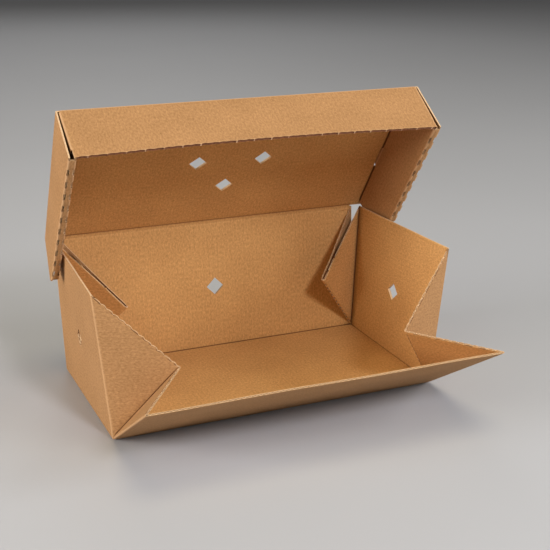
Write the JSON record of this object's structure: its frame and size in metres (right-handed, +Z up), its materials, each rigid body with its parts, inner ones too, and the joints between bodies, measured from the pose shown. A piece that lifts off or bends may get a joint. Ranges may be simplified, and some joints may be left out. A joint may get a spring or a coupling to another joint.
{
  "type": "burger box",
  "caption": "Long takeaway burger box of folded corrugated board, standing open: webbed corners, lowered front wall, diamond vents and a hinged lid with roll-over sides.",
  "frame": {"origin": "centre of the base's underside, on the surface the box stands on", "axes": "+X along the box, +Y from the open front to the back wall with the lid's hinge, +Z up"},
  "size_m": [0.2338, 0.1902, 0.1819],
  "materials": {
    "board": "plain uncoated kraft, matte"
  },
  "bodies": {
    "tray": {"tray": "board"},
    "lid": {"lid": "board"}
  },
  "joints": [
    {"name": "lid_hinge", "type": "hinge", "parent": "tray", "child": "lid", "pos_m": [0, 0.06005, 0.08937], "axis": [-1, 0, 0], "range_deg": [-24, 125]}
  ]
}
